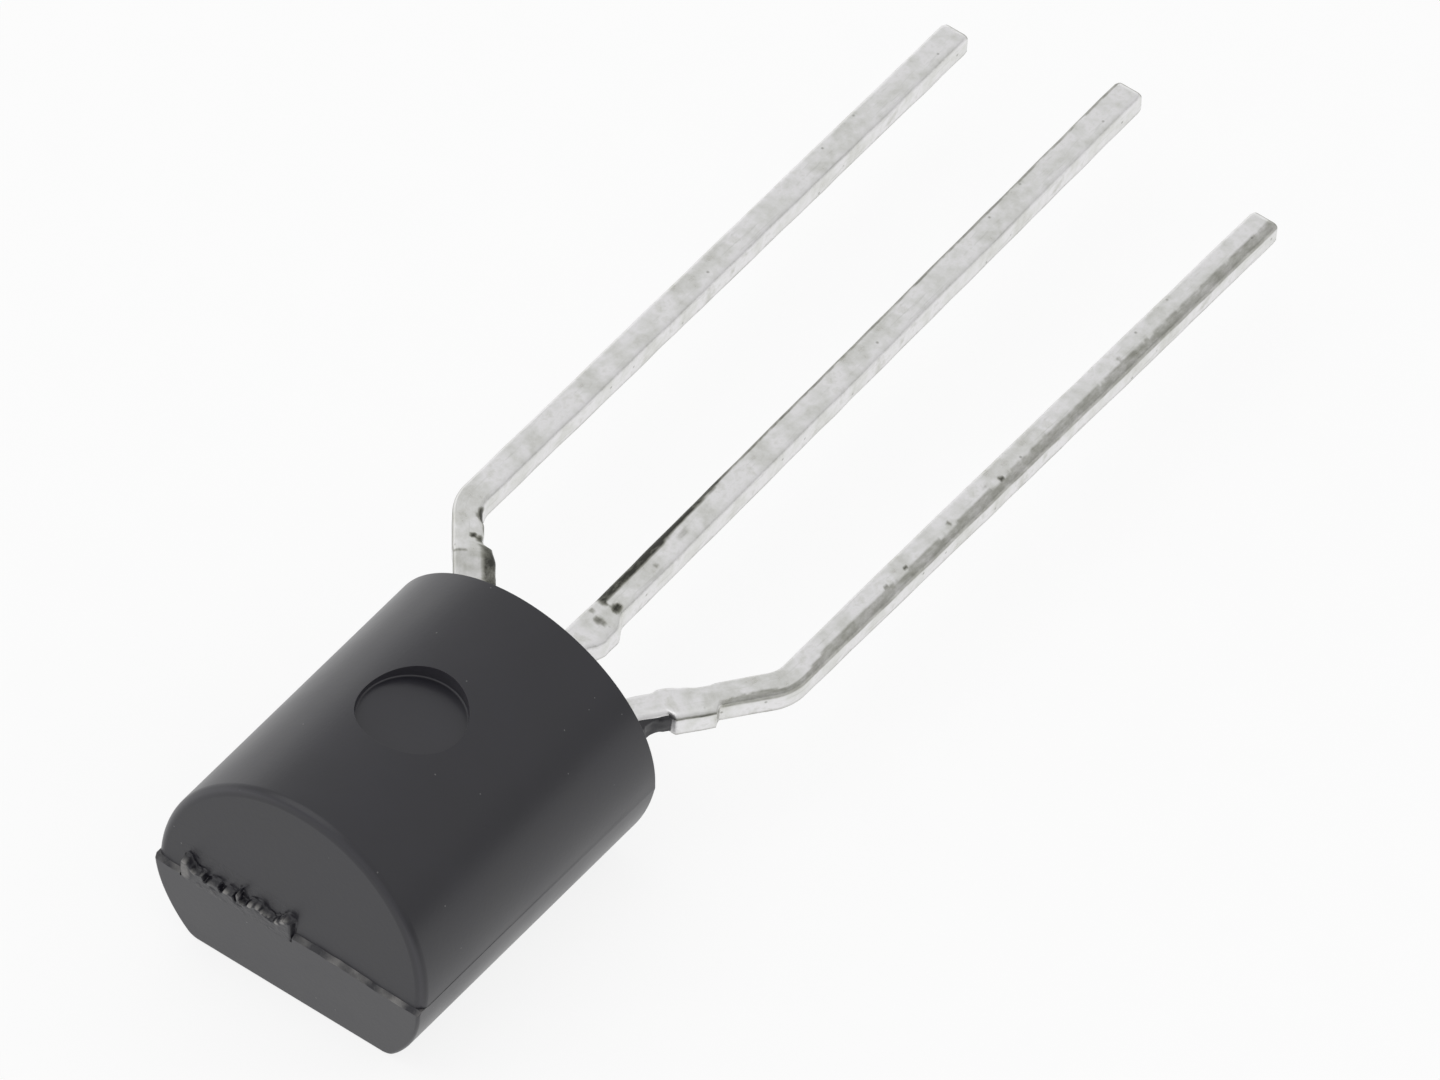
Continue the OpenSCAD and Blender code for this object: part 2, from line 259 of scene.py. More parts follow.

# %% [markdown]
# ## Matt tin plate
# The leads are copper alloy with a few micrometres of matt tin, plated after
# moulding. Matt tin is white-grey and satin, clouded where the bath was
# uneven, scored along its length by the trimming tools, and pitted in places.
# The tin is darker in places along its edges, grey to dark and slightly green.
# Along every corner a faint dark line is a painted reflection of the darker
# room, and each lead adds its own dark bands, nicks and pits.
#
# The patterns have to follow the lead round its bends. Each lead is therefore
# given an attribute, straight_place, that keeps each point's position in
# millimetres from before the lead was bent, and the textures read that. A
# second attribute says where the tin is dark, partly as painted reflection.

# %% Material: matt tin plate
def matt_tin():
    finish, add, tin = new_finish("matt_tin_plate")
    place = add("Attribute", attribute_name="straight_place").outputs["Vector"]
    dark_tin_and_painted_reflection = add("Attribute", attribute_name="dark_tin_and_painted_reflection").outputs["Fac"]
    clouds = add("TexNoise", {"Vector": place, "Scale": 2.6, "Detail": 5, "Roughness": 0.62})
    white = add("ValToRGB", [clouds],
                [(0.3, "#cfcfca"), (0.45, "#e0e0de"), (0.58, "#ecebec"), (0.72, "#d6d6d2")])
    # Tool marks, about 0.06 mm apart across the lead and drawn out along it
    along = add("Mapping", {"Vector": place, "Scale": (0.08, 1, 1)})
    scores = add("TexNoise", {"Vector": along, "Scale": 16, "Detail": 4, "Roughness": 0.65})
    scored = add("MapRange", [scores, 0.58, 0.74, 0.0, 0.35])
    toned = add("Mix", {0: scored, 6: white, 7: linear("#aaaaa4")}, data_type="RGBA")
    # Pits about 0.04 mm wide where the plating didn't take
    cells = add("TexVoronoi", {"Vector": place, "Scale": 3.4})
    pit = add("MapRange", [cells, 0.03, 0.10, 0.6, 0.0])
    pitted = add("Mix", {0: pit, 6: toned.outputs[2], 7: linear("#77776e")}, data_type="RGBA")
    # The darkened tin: grey to nearly black, partly real marks and partly painted reflection
    drawn_out = add("Mapping", {"Vector": place, "Scale": (0.45, 1, 1)})
    ragged = add("TexNoise", {"Vector": drawn_out, "Scale": 9, "Detail": 5, "Roughness": 0.7})
    broken = add("MapRange", [ragged, 0.3, 0.7, -0.3, 0.3])
    painted_light_and_tone = add("Math", [broken, dark_tin_and_painted_reflection, dark_tin_and_painted_reflection], operation="MULTIPLY_ADD")
    shade = add("ValToRGB", [painted_light_and_tone],
                [(0.0, "#ffffff"), (0.15, "#f4f4f3"), (0.45, "#bbbbb5"), (0.8, "#7d7d76"),
                 (1.0, "#50504c")])
    colour = add("Mix", {0: 1.0, 6: pitted.outputs[2], 7: shade}, data_type="RGBA",
                 blend_type="MULTIPLY")
    satin = add("MapRange", [clouds, 0.3, 0.7, 0.26, 0.46])
    fine = add("TexNoise", {"Vector": place, "Scale": 9, "Detail": 4, "Roughness": 0.6})
    height = add("Math", [scores, 0.5, fine], operation="MULTIPLY_ADD")
    sunk = add("Math", [pit, -0.8, height], operation="MULTIPLY_ADD")
    relief = add("Bump", {"Height": sunk, "Strength": 0.35, "Distance": 0.012 * MM})
    fill(tin, {"Base Color": colour.outputs[2], "Roughness": satin, "Normal": relief,
               "Metallic": 1})
    return finish


tin_plate = matt_tin()
print("made", tin_plate.name)

# %% [markdown]
# ## Inside the resin
# The silicon, its solder and the bond wires never show, but a library part is
# opened up sooner or later, so each gets its own finish: sawn silicon is a
# dark blue-grey mirror on top and frosty at its sides, solder is a dull grey
# metal with a grainy skin, and drawn gold wire is bright.

# %% Materials: silicon, solder and gold
def sealed_finish(name, low, high, grain_mm, roughness, metallic):
    """A finish for a sealed piece: two tones mixed by a grain of that size in millimetres."""
    finish, add, shader = new_finish(name)
    grain = add("TexNoise", {"Vector": in_millimetres(add), "Scale": 1 / grain_mm, "Detail": 3})
    tone = add("ValToRGB", [grain], [(0.35, low), (0.65, high)])
    relief = add("Bump", {"Height": grain, "Strength": 0.2, "Distance": 0.005 * MM})
    fill(shader, {"Base Color": tone, "Normal": relief, "Roughness": roughness,
                  "Metallic": metallic})
    return finish


silicon = sealed_finish("sawn_silicon", "#585f68", "#6f7780", 0.06, 0.22, 0.6)
solder = sealed_finish("tin_silver_solder", "#8e9092", "#a9abac", 0.04, 0.45, 1.0)
gold = sealed_finish("drawn_gold_wire", "#d9aa3f", "#ecc45c", 0.02, 0.2, 1.0)
for node_name, finish in {"thyristor_die": silicon, "die_solder": solder,
                          "gate_bond_wire": gold, "cathode_bond_wire": gold}.items():
    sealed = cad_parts[node_name]
    sealed.data.materials.clear()
    sealed.data.materials.append(finish)
    print(node_name, "gets", finish.name)

# %% [markdown]
# ## Finishing a piece
# Each piece ends in the same way: doubles are merged, the normals are made to
# point outwards, millimetres become metres, and faces that meet at a shallow
# angle are shaded as one. The object itself stays at the origin, and the place
# is in the mesh, as it is for the CAD nodes.

# %% Finish a piece
def finish_piece(bm, name, material, replaced, sharp=35):
    """Turns a bmesh in millimetres into a piece of the object that stands for a CAD node."""
    bmesh.ops.remove_doubles(bm, verts=bm.verts, dist=1e-5)
    bmesh.ops.recalc_face_normals(bm, faces=bm.faces)
    bmesh.ops.scale(bm, vec=(MM, MM, MM), verts=bm.verts)
    mesh = bpy.data.meshes.new(name)
    bm.to_mesh(mesh)
    bm.free()
    mesh.shade_smooth()
    mesh.set_sharp_from_angle(angle=math.radians(sharp))
    mesh.materials.append(material)
    piece = add_object(name, mesh)
    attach(piece, "root")
    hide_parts(replaced)
    print(f"{name}: {len(mesh.polygons)} faces")
    return piece


def shade_by_area(mesh, within=28):
    """Turns each corner's normal to the mean, by area, of the faces that it is smooth with."""
    least = math.cos(math.radians(within))
    around = [[] for _ in mesh.vertices]
    for face in mesh.polygons:
        for i in face.vertices:
            around[i].append((face.normal.copy(), face.area / MM ** 2))
    shaded = []
    for face in mesh.polygons:
        for i in face.vertices:
            smooth_with = [n * area for n, area in around[i] if n.dot(face.normal) > least]
            shaded.append(sum(smooth_with, Vector()).normalized())
    mesh.normals_split_custom_set(shaded)


print("pieces are finished at", MM, "m per unit")

# %% [markdown]
# ## Small tools for shapes
# A few steps come back on most pieces, so each is written once. Some call an
# operator or pick what it works on. The others are curves: a mark fades out
# over its rim, and nothing that was torn or sheared runs quite straight.

# %% Small tools
def near(value, target, slack=1e-4):
    return abs(value - target) < slack


def round_off(bm, geom, radius, segments, affect="EDGES", clamp=False):
    """Bevels edges, or corners, to a radius."""
    bmesh.ops.bevel(bm, geom=geom, affect=affect, offset=radius, segments=segments,
                    profile=0.5, material=-1, clamp_overlap=clamp)


def divide(bm, edges, cuts):
    """Cuts edges into equal lengths, and the faces between them into strips or a grid."""
    bmesh.ops.subdivide_edges(bm, edges=edges, cuts=cuts, use_grid_fill=True)


def box(size, centre):
    """A bmesh that holds one box."""
    bm = bmesh.new()
    bmesh.ops.create_cube(bm, size=1)
    bmesh.ops.scale(bm, vec=size, verts=bm.verts)
    bmesh.ops.translate(bm, vec=centre, verts=bm.verts)
    return bm


def x_span(edge):
    """How far an edge runs along x."""
    return abs(edge.verts[0].co.x - edge.verts[1].co.x)


def points_of(made):
    """The points among what an extrusion made."""
    return [g for g in made["geom"] if isinstance(g, bmesh.types.BMVert)]


def smooth(value, low, high):
    """0 below low, 1 above high, and an easy curve between."""
    t = min(max((value - low) / (high - low), 0), 1)
    return t * t * (3 - 2 * t)


def fade_out(away):
    """A mark's share at a distance counted in its own half sizes."""
    return 1 - smooth(away, 0.5, 1.2)


def waver(x, y, z):
    """A smooth noise from about -1 to 1."""
    return noise.noise(Vector((x, y, z)))


print("smooth at a quarter of the way is", smooth(0.25, 0, 1))

# %% [markdown]
# ## The resin case
# The case is one closed moulding: a cylinder whose side is cut by a flat. It
# could be a lathe shape or a stretched primitive, but its two ends lean by the
# draft of the mould, each half by its own amount, and the lower half stands
# 0.05 mm out past the upper one. Drawing the outline once and extruding it
# keeps the barrel perfectly round, and the ends are leaned afterwards.
#
# The outline starts as a circle in the plane that is later stood up across
# the leads. A cut makes the flat, and the two points next to each corner are
# dissolved, to give the corner's bevel an edge that is long enough.

# %% Case: outline
def case_outline():
    bm = bmesh.new()
    bmesh.ops.create_circle(bm, cap_ends=True, segments=192, radius=CASE_R)
    bmesh.ops.translate(bm, vec=(0, AXIS_H, 0), verts=bm.verts)
    bmesh.ops.bisect_plane(bm, geom=bm.verts[:] + bm.edges[:] + bm.faces[:], dist=1e-5,
                           plane_co=(0, 0, 0), plane_no=(0, 1, 0), clear_inner=True)
    corners = [v for v in bm.verts if near(v.co.y, 0)]
    close = [v for v in bm.verts if v not in corners
             and min((v.co - c.co).length for c in corners) < 0.2]
    bmesh.ops.dissolve_verts(bm, verts=close)
    corners = [v for v in bm.verts if near(v.co.y, 0)]
    round_off(bm, corners, 0.11, 8, affect="VERTICES", clamp=True)
    # The round side is as wide at the parting plane as at its widest, so the mould can open
    for v in bm.verts:
        if PARTING_H < v.co.y < AXIS_H:
            v.co.x = math.copysign(CASE_R, v.co.x)
    return bm


case = case_outline()
print("outline points:", len(case.verts))

# %% [markdown]
# The outline is extruded, and a rotation stands it up: across goes to Y, height
# to Z and the extrusion to X. Two cuts, 20 micrometres apart, then split the
# ends at the parting plane, and the rims are bevelled in three goes, because
# the cavity is rounded most round the upper half of the closed end.

# %% Case: body
LEDGE, RIM_R, UPPER_RIM_R = 0.02, 0.05, 0.14


def stand_up(bm):
    """Turns a shape drawn as (across, height, along) into (along, across, height)."""
    turn = Matrix(((0, 0, 1, 0), (1, 0, 0, 0), (0, 1, 0, 0), (0, 0, 0, 1)))
    bmesh.ops.transform(bm, matrix=turn, verts=bm.verts)


def extrude_case(bm):
    made = bmesh.ops.extrude_face_region(bm, geom=bm.faces[:])
    bmesh.ops.translate(bm, vec=(0, 0, CASE_LEN), verts=points_of(made))
    bmesh.ops.recalc_face_normals(bm, faces=bm.faces)
    bmesh.ops.translate(bm, vec=(0, 0, -CASE_LEN / 2), verts=bm.verts)
    stand_up(bm)
    for cut_h in (PARTING_H, PARTING_H + LEDGE):
        bmesh.ops.bisect_plane(bm, geom=bm.verts[:] + bm.edges[:] + bm.faces[:], dist=1e-6,
                               plane_co=(0, 0, cut_h), plane_no=(0, 0, 1))


def round_rim(bm, end, low, high, radius, segments):
    """Bevels the rim of one end between two heights."""
    rim = [e for e in bm.edges if len(e.link_faces) == 2 and e.calc_face_angle(0) > 1
           and all(near(v.co.x, end) and low - 1e-4 < v.co.z < high + 1e-4 for v in e.verts)]
    round_off(bm, rim, radius, segments, clamp=True)


extrude_case(case)
round_rim(case, LEAD_END, 0, CASE_DEPTH, RIM_R, 4)
round_rim(case, CLOSED_END, PARTING_H + LEDGE, CASE_DEPTH, UPPER_RIM_R, 7)
round_rim(case, CLOSED_END, 0, PARTING_H, RIM_R, 4)
print("case faces:", len(case.faces))

# %% [markdown]
# Every point slides along X by the draft of its own half, and the pair of cuts
# becomes the narrow ledge where the lower half stands proud. Resin was left
# standing on the ledge, up to a tenth of a millimetre, so on the closed end its
# line is divided, and lifted by an uneven amount, and its top slants.

# %% Case: draft and parting step
def lean(v):
    """How far a point of the closed and of the lead end slides inwards, by its height."""
    above = v.co.z - PARTING_H
    if above > LEDGE / 2:
        slide = above * ROUND_SLOPE
        return slide + (MOULD_STEP if v.co.x < 0 else 0)
    return max(-above, 0) * FLAT_SLOPE


def lift_ledge(bm):
    """Raises both lines of the closed end's ledge, each within the plane of its own half."""
    lines = [e for e in bm.edges if e.calc_length() > 1
             and all(v.co.x < CLOSED_END + 0.1 and near(v.co.z, PARTING_H + LEDGE / 2, LEDGE)
                     for v in e.verts)]
    divide(bm, lines, 110)
    for v in bm.verts:
        if v.co.x < CLOSED_END + 0.3 and near(v.co.z, PARTING_H + LEDGE / 2, LEDGE):
            middle = 1 - smooth(abs(v.co.y + 0.3), 0.3, 1.6)
            rise = 0.055 + 0.055 * middle + 0.012 * waver(5 * v.co.y, 2, 6)
            upper = v.co.z > PARTING_H + LEDGE / 2
            rise += 0.035 if upper else 0
            v.co.x += rise * (ROUND_SLOPE if upper else -FLAT_SLOPE)
            v.co.z += rise
    return len(lines)


# The lower bevel's two ends have slid a little up the ledge, and are put back
for v in case.verts:
    if near(v.co.z, PARTING_H + LEDGE / 4, LEDGE / 4 + 1e-3):
        v.co.z = PARTING_H
for v in case.verts:
    v.co.x += math.copysign(lean(v), -v.co.x)
print("ledge lines divided:", lift_ledge(case))
xs = [v.co.x for v in case.verts]
print(f"case from {min(xs):.3f} to {max(xs):.3f} mm")

# %% [markdown]
# ## The ejector pin's mark and the torn pocket
# A pin pushes the moulding out of its cavity, and leaves a round, flat-floored
# recess in the crown. It is cut by a short cylinder with a Boolean, because
# the rim where a flat-ended pin meets a round barrel is a curve that no bevel
# or inset gives. The rim then gets a tiny bevel of its own, which is what
# catches the light on the near side.
#
# Resin flows into the cavity along a runner at the parting plane, on one side
# of the closed end. Snapping the runner off tears a shallow pocket above it. A
# second Boolean opens that pocket, and the next step fills it with the break.

# %% Case: cuts
EJECTOR_R, EJECTOR_DEPTH, EJECTOR_X = 0.77, 0.24, 0.0
RUNNER_W, RUNNER_Y, TORN_H = 1.92, -0.12, 0.6


def cut_away(bm, tool):
    """Cuts one bmesh out of another, and frees the second."""
    bmesh.ops.recalc_face_normals(tool, faces=tool.faces)
    objects = []
    for part in (bm, tool):
        mesh = bpy.data.meshes.new("cutting")
        part.to_mesh(mesh)
        objects.append(add_object("cutting", mesh))
    tool.free()
    cut = objects[0].modifiers.new("cut", "BOOLEAN")
    cut.operation, cut.solver, cut.object = "DIFFERENCE", "EXACT", objects[1]
    bpy.context.view_layer.update()
    result = objects[0].evaluated_get(bpy.context.evaluated_depsgraph_get()).to_mesh()
    bm.clear()
    bm.from_mesh(result)
    for o in objects:
        mesh = o.data
        bpy.data.objects.remove(o)
        bpy.data.meshes.remove(mesh)


def ejector_pin():
    bm = bmesh.new()
    bmesh.ops.create_cone(bm, cap_ends=True, segments=128, radius1=EJECTOR_R,
                          radius2=EJECTOR_R, depth=2 * EJECTOR_DEPTH)
    floor_edges = [e for e in bm.edges if all(v.co.z < 0 for v in e.verts)]
    round_off(bm, floor_edges, 0.03, 3)
    bmesh.ops.translate(bm, vec=(EJECTOR_X, 0, CASE_DEPTH), verts=bm.verts)
    return bm


def torn_pocket():
    """A box that opens the closed end for the break, a hair smaller than the break itself."""
    hair, reach = 0.02, 0.4
    return box((reach, RUNNER_W - 2 * hair, TORN_H - 2 * hair),
               (CLOSED_END, RUNNER_Y + RUNNER_W / 2, PARTING_H + TORN_H / 2))


cut_away(case, ejector_pin())
rim = [e for e in case.edges if len(e.link_faces) == 2
       and all(near(math.hypot(v.co.x - EJECTOR_X, v.co.y), EJECTOR_R, 0.002)
               and near(math.hypot(v.co.y, v.co.z - AXIS_H), CASE_R, 0.004) for v in e.verts)]
round_off(case, rim, 0.015, 2, clamp=True)
cut_away(case, torn_pocket())
print("rim edges bevelled:", len(rim), "faces now:", len(case.faces))

# %% [markdown]
# The ledge at the parting plane was never polished: flash was tumbled off it.
# Its faces get the broken finish, in a light tone that is partly the paler
# resin of a chipped edge and partly painted light on its up-facing top. The
# rounded rim above it and the pin's recess get a paler base as painted light: a
# painted sheen along the rim, and painted light on the recess's shaded wall and
# floor.
#
# Smooth shading averages the normals of the faces that meet at a point. Beside
# a thin bevel that tilts the shading of the whole barrel, whose faces are five
# millimetres long. Weighing each face by its area keeps the barrel round.

# %% Case: chipped ledge, and painted light on the rim and the pin's recess
chip_and_painted_light = case.verts.layers.float.new("chip_and_painted_light")
painted_light_and_tone = case.verts.layers.float.new("painted_light_and_tone")
for v in case.verts:
    above = v.co.z - PARTING_H
    into = v.co.x - CLOSED_END - MOULD_STEP - above * ROUND_SLOPE
    # Painted sheen: a paler base in a band along the closed end's rounded upper rim
    if above > 0.15:
        v[painted_light_and_tone] = 0.8 * smooth(into, 0.002, 0.03) * (1 - smooth(into, 0.035, 0.09))
    # Painted light on the pin recess's shaded wall, and a little on its floor
    if (math.hypot(v.co.x - EJECTOR_X, v.co.y) < EJECTOR_R + 0.01 and v.co.z > AXIS_H
            and math.hypot(v.co.y, v.co.z - AXIS_H) < CASE_R - 0.004):
        v[painted_light_and_tone] = 0.15 if near(v.co.z, CASE_DEPTH - EJECTOR_DEPTH, 0.005) else 1
    # The ledge's pale broken finish: partly chipped resin, partly painted light on its up-facing
    # top
    v[chip_and_painted_light] = 0.56 + 0.3 * waver(4 * v.co.x, 5 * v.co.y, 2)
ledge = [f for f in case.faces
         if f.normal.z > 0.45 and f.calc_center_median().z < PARTING_H + 0.2]
for f in ledge:
    f.material_index = 1
resin_case = finish_piece(case, "resin_case", epoxy, "moulded_body", sharp=28)
resin_case.data.materials.append(broken_epoxy)
shade_by_area(resin_case.data)
print("ledge faces:", len(ledge))

# %% [markdown]
# ## The broken runner
# What is left of the runner is a slab that carries on the lower half's end,
# and breaks off a third of a millimetre above the parting plane. Its crest is
# chipped pale, partly as painted light, its pits are painted darker as painted
# shade, and behind the crest its torn top is dark. The crest, the chips and the
# pits are placed one by one on a flat grid, with a finer fractal noise over
# them, and the grid is then extruded back into the case to close it.

# %% Broken runner
PLAIN_CHIP = 0.33
# The crest's height above the parting plane, at distances across the part
CREST = [(-0.12, 0.30), (-0.09, 0.43), (0.02, 0.46), (0.12, 0.37), (0.24, 0.27), (0.32, 0.29),
         (0.39, 0.31), (0.47, 0.37), (0.62, 0.33), (0.69, 0.26), (0.77, 0.25), (0.80, 0.44),
         (0.83, 0.40), (0.85, 0.20), (0.91, 0.29), (1.03, 0.30), (1.10, 0.22), (1.15, 0.32),
         (1.27, 0.30), (1.37, 0.22), (1.41, 0.33), (1.47, 0.31), (1.55, 0.30), (1.60, 0.37),
         (1.68, 0.45), (1.73, 0.45), (1.80, 0.28)]
# Each is the place across and above the parting plane, its two half sizes, and its strength
CHIPS = [(1.70, 0.20, 0.11, 0.22, 0.62), (1.70, 0.40, 0.06, 0.06, 0.7),
         (1.55, 0.27, 0.06, 0.05, 0.65), (1.43, 0.30, 0.06, 0.035, 0.6),
         (1.28, 0.25, 0.13, 0.05, 0.42), (1.15, 0.29, 0.07, 0.03, 0.4),
         (1.47, 0.04, 0.05, 0.05, 0.35), (1.24, 0.08, 0.07, 0.04, 0.4),
         (1.03, 0.27, 0.10, 0.045, 0.95), (0.92, 0.28, 0.04, 0.03, 0.8),
         (0.805, 0.33, 0.025, 0.15, 0.55), (0.75, 0.22, 0.05, 0.03, 0.5),
         (0.62, 0.29, 0.07, 0.06, 1.0), (0.49, 0.34, 0.06, 0.05, 0.9),
         (0.40, 0.28, 0.035, 0.035, 1.0), (0.31, 0.26, 0.09, 0.025, 0.9),
         (0.18, 0.27, 0.08, 0.035, 0.9), (0.08, 0.37, 0.09, 0.05, 0.95),
         (-0.02, 0.43, 0.09, 0.04, 0.7)]
PITS = [(1.23, 0.17, 0.06, 0.03, 0.3), (0.85, 0.22, 0.03, 0.10, 0.4),
        (0.78, 0.16, 0.06, 0.03, 0.25), (0.47, 0.27, 0.06, 0.03, 0.15)]


def strongest(marks, across, height):
    """The greatest share, from 0 to 1, that any of the marks has at a place."""
    return max(strength * fade_out(math.hypot((across - y) / wide, (height - z) / tall))
               for y, z, wide, tall, strength in marks)


def crest_height(across):
    for (y0, h0), (y1, h1) in zip(CREST, CREST[1:]):
        if y0 <= across <= y1:
            return h0 + (h1 - h0) * smooth(across, y0, y1)
    return CREST[-1][1]


def fracture(across, height):
    """How far a place on the break stands out of the upper half's end, and its chip value, which
    paints shade into pits and light onto chips.
    """
    torn = noise.fractal(Vector((9 * across, 9 * height, 4.7)), 0.8, 2.1, 5)
    light = strongest(CHIPS, across + 0.01 * torn, height + 0.01 * torn)
    dark = strongest(PITS, across, height)
    crest = crest_height(across) - 0.045 + 0.01 * torn
    slab = 1 - smooth(height, crest - 0.01, crest + 0.03)
    behind = (1 - slab) * (1 - smooth(height, crest + 0.04, crest + 0.10))
    border = min(smooth(across - RUNNER_Y, 0, 0.07),
                 smooth(RUNNER_Y + RUNNER_W - across, 0, 0.05))
    top = 1 - smooth(height, TORN_H - 0.08, TORN_H - 0.01)
    break_out = 0.012 * light - 0.035 * dark - (0.008 + 0.01 * torn) * behind * top
    # Painted light and shade: chips on the slab are made paler and pits darker
    shade = PLAIN_CHIP + 0.68 * light * slab - 0.15 * dark + 0.02 * behind * top
    slab_out = MOULD_STEP + height * (ROUND_SLOPE + FLAT_SLOPE)
    return (border * (slab_out * slab + break_out + 0.003 * torn * top),
            PLAIN_CHIP + border * (shade - PLAIN_CHIP))


def runner_scar():
    skin_lift, back_depth, back_chip = 0.0005, 0.3, 0.3
    bm = bmesh.new()
    chip_and_painted_light = bm.verts.layers.float.new("chip_and_painted_light")
    bmesh.ops.create_grid(bm, x_segments=192, y_segments=66, size=0.5)
    bmesh.ops.scale(bm, vec=(RUNNER_W, TORN_H, 1), verts=bm.verts)
    bmesh.ops.translate(bm, vec=(RUNNER_Y + RUNNER_W / 2, TORN_H / 2, 0), verts=bm.verts)
    for v in bm.verts:
        across, height = v.co.x, v.co.y
        out, v[chip_and_painted_light] = fracture(across, height)
        v.co.z = height * ROUND_SLOPE - skin_lift - out
        v.co.y += PARTING_H
    back = bmesh.ops.extrude_edge_only(bm, edges=[e for e in bm.edges if e.is_boundary])
    for v in points_of(back):
        v.co.z, v[chip_and_painted_light] = back_depth, back_chip
    bmesh.ops.holes_fill(bm, edges=[e for e in bm.edges if e.is_boundary], sides=0)
    bmesh.ops.translate(bm, vec=(0, 0, CLOSED_END + MOULD_STEP), verts=bm.verts)
    stand_up(bm)
    return bm


finish_piece(runner_scar(), "broken_runner", broken_epoxy, "moulded_body", sharp=75)

# %% [markdown]
# ## A lead before it is formed
# The three leads are stamped from sheet and tinned, and only then bent. They
# are modelled in the same order: a straight blank with rolled upper edges,
# then the marks of the tools on it, then the bend. In the blank's own space x
# is the distance past the case, y is across and z is up from the middle, and
# so every mark and nick is placed by how far along the lead it is.
#
# The die rolls the upper edges over to a radius of 0.08 mm and leaves the
# lower ones nearly sharp. The wide faces are cut into strips, and the whole
# length into short rings, to give the tool marks something to move.

# %% Straight blank
RING_GAP = 0.04


def straight_blank(start, end):
    """A straight lead from start to end along x, in rings that are RING_GAP apart."""
    bm = box((end - start, LEAD_W, LEAD_T), ((start + end) / 2, 0, 0))
    for side, radius, segments in ((1, ROLL_R, 5), (-1, BURR_R, 2)):
        corner = [e for e in bm.edges if x_span(e) > 1
                  and all(v.co.z * side > 0.1 and abs(v.co.y) > HALF_W - 0.001
                          for v in e.verts)]
        round_off(bm, corner, radius, segments)
    divide(bm, [e for e in bm.edges if x_span(e) < 0.001 and e.calc_length() > 0.15], 5)
    divide(bm, [e for e in bm.edges if x_span(e) > 1], round((end - start) / RING_GAP))
    return bm


sample = straight_blank(-0.7, 13)
print("a plain blank has", len(sample.verts), "points")
sample.free()

# %% [markdown]
# ## Tool marks
# Four things make a real lead differ from its drawing. The dam bar that joined
# the leads is cut away after moulding and leaves a stub on each side. The
# sheared edges wander by a hundredth of a millimetre. The tip is nipped off,
# which pulls its upper edge down. And its tin is darker in places along the
# edges, here partly real marks and partly painted reflection. The first is a
# change of width along the lead, and so are the paddle and the bonding posts
# inside the case, so one rule covers them all.

# %% Tool marks
def step_between(s, low, high, ramp=0.03):
    """1 between low and high along the lead and 0 elsewhere, with short ramps."""
    return smooth(s, low - ramp, low + ramp) * (1 - smooth(s, high - ramp, high + ramp))


def widen(bm, half_widths):
    """Moves the sides of a blank out. half_widths gives (minus side, plus side) at a distance."""
    for v in bm.verts:
        minus, plus = half_widths(v.co.x)
        share = abs(v.co.y) / HALF_W
        if v.co.y > 0:
            v.co.y += (plus - HALF_W) * share
        elif v.co.y < 0:
            v.co.y -= (minus - HALF_W) * share


def wander(bm, seed, reach=0.007):
    """Lets the sheared faces wander a little, outside the case only."""
    for v in bm.verts:
        if v.co.x < 0.05:
            continue
        here = Vector((2.2 * v.co.x, 3 * v.co.y, 3 * v.co.z + seed))
        slow = waver(0.5 * v.co.x, 0, seed + 9)
        share = 2 * abs(v.co.y) / LEAD_W
        v.co.y += reach * noise.noise(here) * share + 0.4 * reach * slow
        v.co.z += 0.7 * reach * noise.noise(here + Vector((0, 0, 31)))


def nip_tip(bm, end, pull=0.04, pinch=0.012):
    """Pulls the upper edge of the cut tip down and pinches its sides."""
    for v in bm.verts:
        t = smooth(v.co.x, end - 0.1, end)
        if t > 0:
            v.co.z -= pull * t * t * max(v.co.z / HALF_T, 0)
            v.co.y *= 1 - 2 * pinch * t * t / LEAD_W


print("tool marks: widen, wander, nip_tip")

# %% [markdown]
# ## Forming
# A formed lead is two straight runs joined by arcs of 0.6 mm radius. A lattice
# or a curve modifier could bend the blank, but both stretch the inside of a
# tight bend by eye. Walking along the route and turning each point about the
# centre of its own arc gives the same shape that the CAD has.

# %% Forming the bends
TO_THE_TIP = 99  # longer than any lead


def bend_run(angle):
    """Distance from a corner to where its arc begins."""
    return BEND_R * math.tan(abs(angle) / 2)


def form(bm, route, side):
    """Bends a straight blank. route is a list of (length, turn), where a turn is an arc."""
    for v in bm.verts:
        s, across = v.co.x, v.co.y
        at, heading = Vector((0, 0)), 0.0
        for length, turn in route:
            last = (length, turn) == route[-1]
            if not turn:
                run = s if last else min(s, length)
                at += run * Vector((math.cos(heading), math.sin(heading)))
                s -= run
            elif s > 0:
                arc = BEND_R * abs(turn)
                part = turn * min(s / arc, 1)
                way = math.copysign(1, turn)
                centre = at + BEND_R * way * Vector((-math.sin(heading), math.cos(heading)))
                heading += part
                at = centre - BEND_R * way * Vector((-math.sin(heading), math.cos(heading)))
                s -= arc * abs(part / turn)
            if s <= 0:
                break
        v.co.x = LEAD_END + at.x - across * math.sin(heading)
        v.co.y = FRAME_SHIFT + side * LEAD_PITCH + at.y + across * math.cos(heading)
        v.co.z += LEAD_MID_H


def formed_route(side, start, lean=0.0):
    """An outer lead's route: straight, slanting from start, straight. side is 1 towards +Y."""
    slant = (FORMED_PITCH - LEAD_PITCH) / math.sin(FORM_ANGLE)
    out = lean - side * FORM_ANGLE
    return [(start - bend_run(FORM_ANGLE), 0), (0, side * FORM_ANGLE),
            (slant - bend_run(FORM_ANGLE) - bend_run(out), 0), (0, out), (TO_THE_TIP, 0)]


